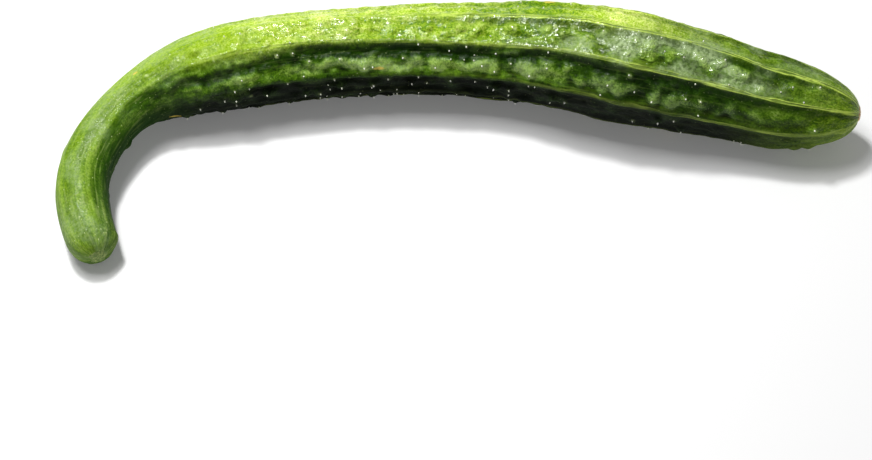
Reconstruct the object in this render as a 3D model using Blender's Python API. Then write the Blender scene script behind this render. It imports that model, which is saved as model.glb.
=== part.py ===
"""A long ribbed cucumber with a thin hooked neck, lying on its side as it would on a table.

It grew as one piece, so it is one closed solid: neck, ribbed body, stem end and blossom end. Its surface is worked
out point by point on a sphere that is stretched along a curved line. +Z is up, the curve lies flat, and the origin
is under the middle of the whole cucumber. All constants are in millimetres and degrees.
"""
import math
import random

import bmesh
import bpy
import numpy as np
from mathutils import Matrix, Vector, noise

METRES = 0.001
NAME = "cucumber"

# The line through the middle of the cucumber, seen from above, from the stem end to the blossom end:
# x, y, the radius over the crests of the ribs, and the gap between the cucumber and the table.
STATIONS = (
    (-133.0, -55.5, 9.1, 0.0),
    (-139.5, -38.5, 9.9, 0.2),
    (-142.0, -21.0, 10.0, 1.9),
    (-137.0, -3.0, 10.1, 3.5),
    (-126.0, 13.0, 10.6, 4.5),
    (-107.0, 24.0, 14.9, 2.1),
    (-86.0, 30.0, 17.2, 0.8),
    (-47.0, 36.0, 17.5, 0.6),
    (-9.5, 37.5, 18.4, 0.5),
    (25.5, 34.5, 20.3, 0.4),
    (61.0, 25.5, 22.4, 0.4),
    (94.5, 18.5, 20.3, 0.5),
    (128.5, 9.5, 18.1, 0.4),
    (152.0, 6.5, 16.6, 0.4),
)
STEM_ROUND = 11.0
BLOSSOM_ROUND = 38.0
BLOSSOM_BLUNTNESS = 2.2

# Ten ribs run the whole length. Each has an angle at three places along the line, from the top of the cucumber
# round to the inner side of its bend.
RIB_PLACES = (150.0, 222.0, 305.0)
RIB_ANGLES = (
    (-48.0, -40.0, -33.0),
    (-12.0, -3.0, 0.0),
    (24.0, 34.0, 40.0),
    (72.0, 75.0, 83.0),
    (105.0, 109.0, 121.0),
    (138.0, 144.0, 153.0),
    (174.0, 180.0, 183.0),
    (206.0, 215.0, 221.0),
    (240.0, 249.0, 254.0),
    (276.0, 284.0, 289.0),
)
RIB_COUNT = len(RIB_ANGLES)

# How deep the valleys lie under the crests, at places along the line.
DEPTH_PLACES = (0.0, 85.0, 130.0, 180.0, 250.0, 300.0, 362.0)
RIB_DEPTHS = (0.1, 0.4, 1.9, 2.7, 2.7, 1.8, 0.9)
CREST_WIDTH = 0.38
CREST_FLATNESS = 4
VALLEY_BULGE = 0.25
CREST_UNEVENNESS = 0.35
CREST_WAVE = 28.0

# Points of the surface: five columns from each rib to the next, as fractions of the way, and rings along the line.
# The last column of one gap and the first of the next are the two edges of a crest.
COLUMNS = (0.08, 0.27, 0.5, 0.73, 0.92)
NECK_END = 92.0
STEM_RINGS = 6
NECK_RINGS = 15
BODY_RINGS = 74
BLOSSOM_RINGS = 11
FIRST_COLUMN_TURN = 0.25

# The skin between the ribs is gently lumpy.
LUMP_HEIGHT = 0.8
LUMP_SIZE = 13.0

# Warts: rounded bumps, most of them between the ribs and on the middle of the body.
WART_SEED = 5
WART_TRIES = 900
WART_HEIGHTS = (0.6, 1.3)
WART_START = 75.0
WART_END_GAP = 14.0
WART_SHARE_PLACES = (0.0, 95.0, 150.0, 260.0, 320.0, 365.0)
WART_SHARES = (0.1, 0.3, 1.0, 1.0, 0.4, 0.25)

# Spines: short pale points, each on a wart of its own, spread evenly round the cucumber and out to both ends.
SPINE_BANDS = 20
SPINES_IN_BAND = 3
SPINE_TURN = 7
SPINE_WART = 0.8
SPINE_HALF_WIDTH = 0.35
SPINE_LENGTH = 0.9
SPINE_FLOOR_GAP = 3.0
SPINE_END_GAP = 6.0

# The dried scars where the stem and the flower came off.
STEM_SCAR_RADIUS = 6.0
STEM_SCAR_DISH = 0.7
BLOSSOM_SCAR_RADIUS = 3.0
BLOSSOM_SCAR_RISE = 0.4

# Three small flat spots carry the cucumber: place along the line and half length. What lies lower than the
# pressed height there is flat on the table.
REST_SPOTS = ((14.0, 9.0), (214.0, 14.0), (321.0, 12.0))
REST_DEPTH = 0.35
PRESSED_HEIGHT = 0.7

SKIN_COLOUR = (0.105, 0.235, 0.035, 1.0)
SKIN_ROUGHNESS = 0.35


def smooth_curve(knots, values):
    """Return the natural cubic spline through the values as a function of the place."""
    knots = np.asarray(knots, dtype=float)
    values = np.asarray(values, dtype=float)
    gaps = np.diff(knots)
    last = len(knots) - 1
    system = np.eye(last + 1)
    target = np.zeros(values.shape)
    for i in range(1, last):
        system[i, i - 1:i + 2] = gaps[i - 1], 2.0 * (gaps[i - 1] + gaps[i]), gaps[i]
        target[i] = 6.0 * ((values[i + 1] - values[i]) / gaps[i] - (values[i] - values[i - 1]) / gaps[i - 1])
    bend = np.linalg.solve(system, target)

    def value_at(place):
        i = int(np.clip(np.searchsorted(knots, place) - 1, 0, last - 1))
        done = place - knots[i]
        left = knots[i + 1] - place
        curved = (bend[i] * left ** 3 + bend[i + 1] * done ** 3) / (6.0 * gaps[i])
        start = (values[i] / gaps[i] - bend[i] * gaps[i] / 6.0) * left
        end = (values[i + 1] / gaps[i] - bend[i + 1] * gaps[i] / 6.0) * done
        return curved + start + end

    return value_at


def station_places():
    """Return how far along the line each station lies."""
    places = [0.0]
    for a, b in zip(STATIONS, STATIONS[1:]):
        places.append(places[-1] + math.hypot(b[0] - a[0], b[1] - a[1]))
    return places


PLACES = station_places()
LENGTH = PLACES[-1]
line_at = smooth_curve(PLACES, [station[:2] for station in STATIONS])
radius_at = smooth_curve(PLACES, [station[2] for station in STATIONS])
gap_at = smooth_curve(PLACES, [station[3] for station in STATIONS])


def round_off(place):
    """Return the share of the full radius at a place: 1 on the body, falling to 0 at the two round ends."""
    stem = max(0.0, 1.0 - place / STEM_ROUND)
    blossom = max(0.0, 1.0 - (LENGTH - place) / BLOSSOM_ROUND)
    stem_share = max(0.0, 1.0 - stem ** 2) ** 0.5
    blossom_share = max(0.0, 1.0 - blossom ** BLOSSOM_BLUNTNESS) ** (1.0 / BLOSSOM_BLUNTNESS)
    return stem_share * blossom_share


def rest_share(place):
    """Return how near a place is to the middle of a rest spot: 1 there, falling to 0."""
    return max(math.exp(-((place - spot) / half_length) ** 2) for spot, half_length in REST_SPOTS)


def floor_lift(place):
    """Return how high the cucumber's lowest line lies over the table: below zero at the three rest spots."""
    share = rest_share(place)
    return (1.0 - share) * float(gap_at(place)) - share * REST_DEPTH


def ring_places():
    """Return the place of each ring: close on the round ends, wider on the plain neck."""
    stem = [STEM_ROUND * (1.0 - math.cos(math.pi / 2.0 * i / STEM_RINGS)) for i in range(STEM_RINGS + 1)]
    neck = list(np.linspace(STEM_ROUND, NECK_END, NECK_RINGS + 1))[1:]
    body = list(np.linspace(NECK_END, LENGTH - BLOSSOM_ROUND, BODY_RINGS + 1))[1:]
    blossom = [
        LENGTH - BLOSSOM_ROUND * (1.0 - math.cos(math.pi / 2.0 * i / BLOSSOM_RINGS))
        for i in reversed(range(BLOSSOM_RINGS))
    ]
    return stem + neck + body + blossom


def rib_angle(rib, place):
    """Return the angle of a rib's crest, in degrees; ribs past the last one start again a full turn on."""
    turn, rib = divmod(rib, RIB_COUNT)
    return 360.0 * turn + float(np.interp(place, RIB_PLACES, RIB_ANGLES[rib]))


def rib_depth(rib, place):
    """Return the depth of the valleys beside a rib, which wanders a little from rib to rib and along each."""
    wave = noise.noise(Vector((place / CREST_WAVE, 7.3 * (rib % RIB_COUNT), 0.0)))
    return float(np.interp(place, DEPTH_PLACES, RIB_DEPTHS)) * (1.0 + CREST_UNEVENNESS * wave)


def rib_profile(fraction):
    """Return the height from 0 to 1 at a fraction of the way from one crest to the next."""
    from_crest = 2.0 * min(fraction, 1.0 - fraction)
    crest = math.exp(-(from_crest / CREST_WIDTH) ** CREST_FLATNESS)
    bulge = VALLEY_BULGE * math.sin(math.pi / 2.0 * from_crest) ** 4
    return crest + bulge


def column_angle(column, place):
    """Return the angle of a column of points: the columns follow the ribs."""
    rib, step = divmod(column, len(COLUMNS))
    start = rib_angle(rib, place)
    return start + COLUMNS[step] * (rib_angle(rib + 1, place) - start)


def surface_height(column, place):
    """Return how far the skin lies inside the crest radius, below zero, before warts are added."""
    rib, step = divmod(column, len(COLUMNS))
    fraction = COLUMNS[step]
    depth = (1.0 - fraction) * rib_depth(rib, place) + fraction * rib_depth(rib + 1, place)
    full_depth = depth * round_off(place)
    around = math.radians(column_angle(column, place))
    reach = radius_at(place) / LUMP_SIZE
    spot = Vector((place / LUMP_SIZE, reach * math.cos(around), reach * math.sin(around)))
    lump = LUMP_HEIGHT * noise.noise(spot) * min(1.0, full_depth)
    return full_depth * (rib_profile(fraction) - 1.0) + lump


def wart_heights(rings, column_count):
    """Return the height of the wart on each point that carries one, keyed by ring and column."""
    draw = random.Random(WART_SEED)
    warts = {}
    for _ in range(WART_TRIES):
        place = draw.uniform(WART_START, LENGTH - WART_END_GAP)
        column = draw.randrange(column_count)
        height = draw.uniform(*WART_HEIGHTS)
        luck = draw.random()
        ring = int(np.argmin([abs(place - other) for other in rings]))
        around = [(ring + i, (column + j) % column_count) for i in (-1, 0, 1) for j in (-1, 0, 1)]
        share = float(np.interp(place, WART_SHARE_PLACES, WART_SHARES))
        on_crest = column % len(COLUMNS) in (0, len(COLUMNS) - 1)
        if luck > share * (0.5 if on_crest else 1.0):
            continue
        if not any(point in warts for point in around):
            warts[ring, column] = height
    return warts


def spine_points(rings, column_count):
    """Return the ring and column of each spine: three round each band, turned on a little from band to band."""
    points = []
    for band in range(SPINE_BANDS):
        share = band / (SPINE_BANDS - 1)
        place = SPINE_END_GAP + share * (LENGTH - 2.0 * SPINE_END_GAP)
        ring = int(np.argmin([abs(place - other) for other in rings]))
        for i in range(SPINES_IN_BAND):
            column = band * SPINE_TURN + i * column_count // SPINES_IN_BAND
            points.append((ring, column % column_count))
    return points


def end_relief(place, reach):
    """Return how far a point on an end is moved along the line by the scar there; reach is its distance out."""
    if place < STEM_ROUND and reach < STEM_SCAR_RADIUS:
        return STEM_SCAR_DISH * math.cos(math.pi / 2.0 * reach / STEM_SCAR_RADIUS)
    if place > LENGTH - BLOSSOM_ROUND and reach < BLOSSOM_SCAR_RADIUS:
        return BLOSSOM_SCAR_RISE * math.cos(math.pi / 2.0 * reach / BLOSSOM_SCAR_RADIUS)
    return 0.0


def skin_point(column, place, wart):
    """Return the place in space of one point of the skin."""
    step = 0.5
    middle = Vector((*line_at(place), 0.0))
    ahead = Vector((*line_at(min(LENGTH, place + step)), 0.0))
    behind = Vector((*line_at(max(0.0, place - step)), 0.0))
    along = (ahead - behind).normalized()
    inner = Vector((along.y, -along.x, 0.0))
    up = Vector((0.0, 0.0, 1.0))
    crest = radius_at(place)
    reach = max(0.0, crest * round_off(place) + surface_height(column, place) + wart)
    angle = math.radians(column_angle(column, place))
    outward = up * math.cos(angle) + inner * math.sin(angle)
    point = middle + up * (crest + floor_lift(place)) + outward * reach + along * end_relief(place, reach)
    if point.z < PRESSED_HEIGHT * rest_share(place):
        point.z = 0.0
    point.z = max(0.0, point.z)
    return point


def add_spines(mesh, points):
    """Cut the tip off each chosen wart and raise a thin point from the cut."""
    high = [point for point in points if point.co.z > SPINE_FLOOR_GAP]
    cut = bmesh.ops.bevel(
        mesh, geom=high, offset=SPINE_HALF_WIDTH, segments=1, profile=0.5, affect="VERTICES", material=-1
    )
    bmesh.ops.poke(mesh, faces=cut["faces"], offset=SPINE_LENGTH, center_mode="MEAN")
    print("spines:", len(high))


def build_skin():
    """Return the cucumber's mesh: a sphere whose points are moved to their places along the curved line."""
    rings = ring_places()
    column_count = RIB_COUNT * len(COLUMNS)
    warts = wart_heights(rings, column_count)
    spines = spine_points(rings, column_count)
    for point in spines:
        warts[point] = SPINE_WART
    mesh = bmesh.new()
    bmesh.ops.create_uvsphere(mesh, u_segments=column_count, v_segments=len(rings) - 1, radius=1.0)
    by_grid = {}
    for point in mesh.verts:
        ring = round(math.acos(max(-1.0, min(1.0, point.co.z))) / math.pi * (len(rings) - 1))
        turn = math.atan2(point.co.y, point.co.x) / (2.0 * math.pi) - FIRST_COLUMN_TURN
        column = round(turn * column_count) % column_count
        by_grid[ring, column] = point
        point.co = skin_point(column, rings[ring], warts.get((ring, column), 0.0))
    add_spines(mesh, [by_grid[point] for point in spines])
    bmesh.ops.recalc_face_normals(mesh, faces=mesh.faces)
    bmesh.ops.transform(mesh, matrix=Matrix.Scale(METRES, 4), verts=mesh.verts)
    print("length along the line:", round(LENGTH, 1), "warts:", len(warts), "rings:", len(rings))
    return mesh


def centre_on_origin(mesh):
    """Move the mesh so that the origin is under the middle of its box."""
    low = [min(point.co[i] for point in mesh.verts) for i in range(3)]
    high = [max(point.co[i] for point in mesh.verts) for i in range(3)]
    shift = Vector((-(low[0] + high[0]) / 2.0, -(low[1] + high[1]) / 2.0, -low[2]))
    bmesh.ops.translate(mesh, vec=shift, verts=mesh.verts)
    print("moved by", [round(v / METRES, 2) for v in shift])
    print("size", [round((high[i] - low[i]) / METRES, 1) for i in range(3)])


def skin_material():
    """Return the green skin's material."""
    material = bpy.data.materials.new("cucumber_skin")
    material.use_nodes = True
    shader = material.node_tree.nodes["Principled BSDF"]
    shader.inputs["Base Color"].default_value = SKIN_COLOUR
    shader.inputs["Roughness"].default_value = SKIN_ROUGHNESS
    shader.inputs["Metallic"].default_value = 0.0
    return material


def add_cucumber(collection):
    """Add the cucumber to the collection as one object."""
    mesh = build_skin()
    centre_on_origin(mesh)
    data = bpy.data.meshes.new(NAME)
    mesh.to_mesh(data)
    mesh.free()
    data.materials.append(skin_material())
    data.shade_smooth()
    collection.objects.link(bpy.data.objects.new(NAME, data))
    triangles = sum(len(face.vertices) - 2 for face in data.polygons)
    print("triangles:", triangles)


def main():
    """Clear the scene and build the cucumber."""
    for old in list(bpy.data.objects):
        bpy.data.objects.remove(old, do_unlink=True)
    collection = bpy.data.collections.new(NAME)
    bpy.context.scene.collection.children.link(collection)
    add_cucumber(collection)


main()
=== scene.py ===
# %% [markdown]
# # A long ribbed cucumber, dressed
#
# This is a fruit that grew as one piece, about 36 cm long round its bend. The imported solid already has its
# true size, its ten ribs and its larger warts. This lesson gives it the skin that the eye sees: finer relief,
# green skin with pale ribs and speckles, whitish spines, and the two dry scars at its ends.
#
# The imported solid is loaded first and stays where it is. Every new piece is made round it, in metres.

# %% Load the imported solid
import functools
import math
import random

import bmesh
import bpy
import numpy as np
from mathutils import Matrix, Vector, noise


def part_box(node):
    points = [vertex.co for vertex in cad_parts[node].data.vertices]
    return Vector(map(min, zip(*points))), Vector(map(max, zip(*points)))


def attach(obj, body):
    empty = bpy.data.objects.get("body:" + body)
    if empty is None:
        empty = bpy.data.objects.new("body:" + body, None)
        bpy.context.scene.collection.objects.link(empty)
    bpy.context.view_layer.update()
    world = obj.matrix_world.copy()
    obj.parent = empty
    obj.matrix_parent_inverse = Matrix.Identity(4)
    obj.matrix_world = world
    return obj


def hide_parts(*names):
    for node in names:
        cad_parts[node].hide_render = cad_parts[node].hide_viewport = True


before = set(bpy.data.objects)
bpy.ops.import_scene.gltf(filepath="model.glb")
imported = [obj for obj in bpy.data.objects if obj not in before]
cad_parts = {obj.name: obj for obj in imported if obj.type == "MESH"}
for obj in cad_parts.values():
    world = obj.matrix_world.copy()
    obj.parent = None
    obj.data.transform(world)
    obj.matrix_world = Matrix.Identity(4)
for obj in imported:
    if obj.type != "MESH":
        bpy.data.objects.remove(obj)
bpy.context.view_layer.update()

MM = 0.001
NODE = "cucumber"

# %% [markdown]
# ## The line, the radius and the ribs
#
# The skin could be sculpted, or wrapped round a curve object. Here it is worked out point by point instead,
# because a formula puts each rib, wart and colour in the same place every time. These are the fruit's own
# measures, the same ones that the solid was made from. Each station on the line through its middle has x, y,
# the radius, and the gap between fruit and table. Each rib has its angle at three places along the fruit.
# Where a name holds two rows, the first has places along the fruit and the second the values there.

# %% The fruit's own measures, in millimetres and degrees
STATIONS = (
    (-133.0, -55.5, 9.1, 0.0),
    (-139.5, -38.5, 9.9, 0.2),
    (-142.0, -21.0, 10.0, 1.9),
    (-137.0, -3.0, 10.1, 3.5),
    (-126.0, 13.0, 10.6, 4.5),
    (-107.0, 24.0, 14.9, 2.1),
    (-86.0, 30.0, 17.2, 0.8),
    (-47.0, 36.0, 17.5, 0.6),
    (-9.5, 37.5, 18.4, 0.5),
    (25.5, 34.5, 20.3, 0.4),
    (61.0, 25.5, 22.4, 0.4),
    (94.5, 18.5, 20.3, 0.5),
    (128.5, 9.5, 18.1, 0.4),
    (152.0, 6.5, 16.6, 0.4),
)
STEM_ROUND = 11.0
BLOSSOM_ROUND = 38.0
BLOSSOM_BLUNTNESS = 2.2
RIB_PLACES = (150.0, 222.0, 305.0)
RIB_ANGLES = (
    (-48.0, -40.0, -33.0),
    (-12.0, -3.0, 0.0),
    (24.0, 34.0, 40.0),
    (72.0, 75.0, 83.0),
    (105.0, 109.0, 121.0),
    (138.0, 144.0, 153.0),
    (174.0, 180.0, 183.0),
    (206.0, 215.0, 221.0),
    (240.0, 249.0, 254.0),
    (276.0, 284.0, 289.0),
)
RIB_COUNT = len(RIB_ANGLES)
RIB_DEPTHS = (0.0, 85.0, 130.0, 180.0, 250.0, 300.0, 362.0), (0.1, 0.4, 1.9, 2.7, 2.7, 1.8, 0.9)
CREST_WIDTH = 0.36
CREST_FLATNESS = 2
VALLEY_BULGE = 0.35
CREST_UNEVENNESS = 0.35
CREST_WAVE = 28.0
REST_SPOTS = ((14.0, 9.0), (214.0, 14.0), (321.0, 12.0))
REST_DEPTH = 0.35
PRESSED_HEIGHT = 0.7
SKIN_INSET = 0.25


def spline(knots, values):
    """Return the natural cubic spline through the values, as a function of an array of places."""
    knots, values = np.asarray(knots, float), np.asarray(values, float)
    gaps, last = np.diff(knots), len(knots) - 1
    system, target = np.eye(last + 1), np.zeros(values.shape)
    for i in range(1, last):
        system[i, i - 1:i + 2] = gaps[i - 1], 2.0 * (gaps[i - 1] + gaps[i]), gaps[i]
        target[i] = 6.0 * ((values[i + 1] - values[i]) / gaps[i] - (values[i] - values[i - 1]) / gaps[i - 1])
    bend = np.linalg.solve(system, target)

    def value_at(place):
        i = np.clip(np.searchsorted(knots, place) - 1, 0, last - 1)
        gap, done, left = gaps[i], place - knots[i], knots[i + 1] - place
        curved = (bend[i] * left ** 3 + bend[i + 1] * done ** 3) / (6.0 * gap)
        start = (values[i] / gap - bend[i] * gap / 6.0) * left
        end = (values[i + 1] / gap - bend[i + 1] * gap / 6.0) * done
        return curved + start + end

    return value_at


steps = [math.dist(a[:2], b[:2]) for a, b in zip(STATIONS, STATIONS[1:])]
PLACES = [sum(steps[:i]) for i in range(len(STATIONS))]
LENGTH = PLACES[-1]
line_x, line_y, radius_at, gap_at = (spline(PLACES, [s[i] for s in STATIONS]) for i in range(4))
print("length along the line:", round(LENGTH, 1), "mm")

# %% [markdown]
# ## A grid of points over the fruit
#
# A round skin that closes at both ends is a stretched sphere. Its rings become stations along the line and
# its columns run from end to end, twenty from each rib to the next, so every rib is a clean row of points.
# The rings lie closer on the warty body than on the smooth neck, and it all stays under 200,000 triangles.

# %% Rings along the fruit and columns round it
COLUMNS_PER_RIB = 20
COLUMN_COUNT = RIB_COUNT * COLUMNS_PER_RIB
NECK_END = 92.0
STEM_RINGS, NECK_RINGS, BODY_RINGS, BLOSSOM_RINGS = 18, 68, 340, 60


def ring_places(stem_rings, neck_rings, body_rings, blossom_rings):
    """Return the place of each ring: close on the round ends, wider on the plain neck."""
    stem = [STEM_ROUND * (1.0 - math.cos(math.pi / 2.0 * i / stem_rings)) for i in range(stem_rings + 1)]
    neck = list(np.linspace(STEM_ROUND, NECK_END, neck_rings + 1))[1:]
    body = list(np.linspace(NECK_END, LENGTH - BLOSSOM_ROUND, body_rings + 1))[1:]
    blossom = [
        LENGTH - BLOSSOM_ROUND * (1.0 - math.cos(math.pi / 2.0 * i / blossom_rings))
        for i in reversed(range(blossom_rings))
    ]
    return np.array(stem + neck + body + blossom)


rings = ring_places(STEM_RINGS, NECK_RINGS, BODY_RINGS, BLOSSOM_RINGS)
place = np.repeat(rings[:, None], COLUMN_COUNT, axis=1)
cell = np.repeat(np.arange(RIB_COUNT), COLUMNS_PER_RIB)
fraction = np.tile(np.arange(COLUMNS_PER_RIB) / COLUMNS_PER_RIB, RIB_COUNT)
print("rings:", len(rings), "columns:", COLUMN_COUNT, "triangles:", 2 * COLUMN_COUNT * (len(rings) - 2))

# %% [markdown]
# ## Where each point lies round the fruit
#
# A rib keeps to its angle along the whole fruit, with a small wander of its own, because no two ribs of a
# grown fruit run dead straight. Angles count from the top of the fruit towards the inner side of its bend.

# %% Angles of the ribs and of the points between them
ROW_STEP = 7.3
WANDER_DEGREES = 2.2
WANDER_LENGTH = 34.0
WANDER_ROW = 40
WANDER_SHARES = (60.0, 120.0, 330.0, LENGTH), (0.0, 1.0, 1.0, 0.0)


def wave(value, row, size):
    """Return smooth noise along the fruit, different for each rib."""
    return noise.noise(Vector((value / size, ROW_STEP * row, 0.0)))


def rib_angles(places):
    """Return the angle of each rib at each place, with the first rib once more, a full turn on."""
    table = np.array([np.interp(places, RIB_PLACES, angles) for angles in RIB_ANGLES])
    rows = range(WANDER_ROW, WANDER_ROW + RIB_COUNT)
    wander = np.array([[wave(p, row, WANDER_LENGTH) for p in places] for row in rows])
    table = table + WANDER_DEGREES * wander * np.interp(places, *WANDER_SHARES)
    return np.vstack([table, table[:1] + 360.0])


def rib_depths(places):
    """Return the depth of the valleys beside each rib at each place."""
    uneven = np.array([[wave(p, rib, CREST_WAVE) for p in places] for rib in range(RIB_COUNT)])
    table = np.interp(places, *RIB_DEPTHS) * (1.0 + CREST_UNEVENNESS * uneven)
    return np.vstack([table, table[:1]])


crest_angles = rib_angles(rings)
gap_angles = crest_angles[cell + 1] - crest_angles[cell]
angle = np.radians(crest_angles[cell] + fraction[:, None] * gap_angles).T
depths = rib_depths(rings)
depth = ((1.0 - fraction[:, None]) * depths[cell] + fraction[:, None] * depths[cell + 1]).T
print("widest gap between two ribs:", round(float(gap_angles.max()), 1), "degrees")

# %% [markdown]
# ## Where the skin is pale and lit, shaded, wet or frosted
#
# The top of the fruit is yellow green and its near side is dark. This is partly the fruit's own colour
# and partly painted light and shade: the top is painted lighter where the light falls, and the sides
# turned from it darker. Three strips run along the fruit: behind the second rib, between the second
# and the third, and in front of the third. Each look has a row of amounts for each strip, all read at
# the same places along the fruit. Pale and lit is the sunny colour. Lift and shade moves it up or down
# its row of greens: towards yellow where the top is brightest, partly as a painted highlight, and down
# on the neck's inner side as painted shade. Wet is a film of water, and deeper shade is painted shade
# that darkens the shaded green further. Bloom and sheen is a greyish frost: partly the fruit's waxy
# bloom, partly a painted sheen. A painted image could do this too, but it would not follow the ribs as
# they wander.
#
# The last border follows the third rib, except on the neck and the shoulder. The underside is darkest:
# its own dark green, painted nearly black as shade. The back has one plain row. An edge is given as its
# angle and its softness, in degrees. All this comes before the relief, because the pale side is also the
# smoother one.

# %% Amounts for each strip, and where its edges lie
BAND_PLACES = (0.0, 40.0, 75.0, 100.0, 140.0, 195.0, 235.0, 264.0, 286.0, 310.0, 335.0, LENGTH)
PALE_AND_LIT_BANDS = (
    (0.26, 0.28, 0.7, 0.84, 1.0, 0.95, 0.75, 1.0, 0.46, 0.22, 0.12, 0.52),
    (0.15, 0.22, 0.4, 0.7, 0.9, 0.76, 0.34, 0.16, 0.06, 0.02, 0.12, 0.52),
    (0.0,) * 10 + (0.08, 0.42),
)
LIFT_AND_SHADE_BANDS = (
    (0.0, 0.0, 0.0, 0.0, 0.28, 0.14, -0.18, 0.38, 0.1, 0.0, 0.0, 0.0),
    (0.0, 0.0, -0.04, 0.06, 0.15, -0.04, -0.12, 0.0, 0.0, 0.0, 0.0, 0.0),
    (0.15, -0.15, -0.2, 0.0, 0.0, 0.0, 0.0, 0.0, 0.0, 0.0, 0.0, 0.0),
)
WET_BANDS = (
    (0.05, 0.05, 0.1, 0.3, 0.8, 0.9, 0.7, 0.5, 0.35, 0.25, 0.2, 0.1),
    (0.35, 0.25, 0.1, 0.25, 0.75, 0.9, 1.0, 1.0, 1.0, 0.9, 0.5, 0.2),
    (0.35, 0.15, 0.15, 0.15, 0.18, 0.18, 0.2, 0.2, 0.2, 0.22, 0.25, 0.2),
)
DEEPER_SHADE_BANDS = (
    (0.0,) * 12,
    (0.0, 0.0, 0.0, 0.0, 0.0, 0.0, 0.1, 0.2, 0.12, 0.12, 0.1, 0.0),
    (0.0, 0.0, 0.25, 0.2, 0.2, 0.1, 0.35, 0.8, 0.95, 0.85, 0.3, 0.0),
)
BLOOM_AND_SHEEN_BANDS = (
    (0.35, 0.4, 0.4, 0.25, 0.2, 0.08, 0.0, 0.0, 0.15, 0.6, 0.4, 0.05),
    (0.35, 0.5, 0.5, 0.45, 0.3, 0.0, 0.4, 1.0, 1.05, 0.85, 0.1, 0.0),
    (0.35, 0.2, 0.1, 0.2, 0.35, 0.45, 0.4, 0.25, 0.15, 0.1, 0.1, 0.0),
)
UNDER_AMOUNTS = (0.0, 8.0, 24.0, 100.0, 312.0, 338.0, LENGTH), (0.3, 0.85, 0.95, 1.0, 1.0, 0.5, 0.35)
UNDER_DRIFT = 0.3
UNDER_SOFTNESS = 1.6
UNDER_END = (104.0, 7.0)
NECK_UNDER_ANGLES = (50.0, 85.0), (52.0, 80.0)
NECK_UNDER_SOFTNESS = 8.0
DRY_UNDER = 0.85
NECK_FADE = (60.0, 130.0)
NECK_BORDER = 24.0
SECOND_RIB, THIRD_RIB, FOURTH_RIB = 1, 2, 3
PAST_SECOND, PAST_THIRD, PAST_FOURTH = 3.0, 1.5, 2.0
SECOND_SOFTNESS = 2.5
DRIFT_DEGREES = 6.0
DRIFT_SIZE = 22.0
BORDER_DRIFT = 0.4
PALE_END = (-95.0, 14.0)
BACK_START = (62.0, 8.0)
BACK_PALE = (0.0, 75.0, 140.0, 235.0, 290.0, LENGTH), (0.2, 0.6, 0.9, 0.8, 0.45, 0.2)
SHOULDER_SPREAD = (
    (20.0, 50.0, 60.0, 72.0, 84.0, 102.0, 125.0, 142.0),
    (-5.0, 3.0, 5.0, -3.0, -8.0, 2.0, 8.0, 0.0),
)
BORDER_SOFTNESS = (0.0, 60.0, 84.0, 104.0, 122.0, 142.0), (8.0, 7.0, 4.0, 5.0, 4.0, 1.6)

# %% Edges, noise and the amounts at every point
SEED_STEP = 31.7


def soft_edge(value, middle, softness):
    """Return a share that rises from 0 below the middle to 1 above it."""
    return 1.0 / (1.0 + np.exp(-(value - middle) / softness))


turned = (np.degrees(angle) + 180.0) % 360.0 - 180.0
flow = np.stack([place, radius_at(place) * np.cos(angle), radius_at(place) * np.sin(angle)], axis=-1)


def noise_field(size, seed, stretch=1.0):
    """Return smooth noise from about -1 to 1 at every point; stretch draws it out along the fruit."""
    scaled = flow / (size * np.array([stretch, 1.0, 1.0])) + SEED_STEP * seed
    values = [noise.noise(Vector(v)) for v in scaled.reshape(-1, 3)]
    return np.array(values).reshape(place.shape)


def smooth_step(value, low, high):
    """Return 0 below low and 1 above high, with a smooth rise between them."""
    share = np.clip((value - low) / (high - low), 0.0, 1.0)
    return share * share * (3.0 - 2.0 * share)


drift = DRIFT_DEGREES * noise_field(DRIFT_SIZE, seed=9)
on_neck = 1.0 - smooth_step(place, *NECK_FADE)
border = on_neck * NECK_BORDER + (1.0 - on_neck) * (crest_angles[THIRD_RIB][:, None] + PAST_THIRD)
border = border + np.interp(place, *SHOULDER_SPREAD)
past_second = soft_edge(turned, crest_angles[SECOND_RIB][:, None] + PAST_SECOND, SECOND_SOFTNESS)
border_softness = np.interp(place, *BORDER_SOFTNESS)
past_third = soft_edge(turned - BORDER_DRIFT * drift, border, border_softness)


def by_band(behind, between, before):
    """Return an amount at every point, from rows for behind, between and before the second and third rib."""
    behind, between, before = (np.interp(place, BAND_PLACES, row) for row in (behind, between, before))
    upper = behind + past_second * (between - behind)
    return upper + past_third * (before - upper)


on_back = soft_edge(-turned - drift, *BACK_START)
# Pale and lit: partly the fruit's own yellow green, partly painted light on the top.
pale = by_band(*PALE_AND_LIT_BANDS)
pale += on_back * (np.interp(place, *BACK_PALE) - pale)
pale *= soft_edge(turned + drift, *PALE_END)
# Deeper shade: painted shade that darkens the shaded green further, most of it past the middle.
gloom = by_band(*DEEPER_SHADE_BANDS)
# Lift and shade: towards yellow where the top is brightest, partly a painted highlight, and down on the
# neck's inner side as painted shade.
ripe = by_band(*LIFT_AND_SHADE_BANDS) * (1.0 - on_back)
# Bloom and sheen: partly the fruit's waxy bloom, partly a painted sheen.
bloom = by_band(*BLOOM_AND_SHEEN_BANDS)
neck_edge = np.interp(place, *NECK_UNDER_ANGLES)
under_edge = on_neck * neck_edge + (1.0 - on_neck) * (crest_angles[FOURTH_RIB][:, None] + PAST_FOURTH)
# The underside: its own dark green, darkened to nearly black as painted shade.
under = soft_edge(turned - UNDER_DRIFT * drift, under_edge, UNDER_SOFTNESS + NECK_UNDER_SOFTNESS * on_neck)
under = under + soft_edge(drift - turned, *UNDER_END)
under = np.minimum(1.0, under) * np.interp(place, *UNDER_AMOUNTS)
wet = by_band(*WET_BANDS) * (1.0 - DRY_UNDER * under)
print("share of the skin that is pale:", round(float(pale.mean()), 2))

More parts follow.
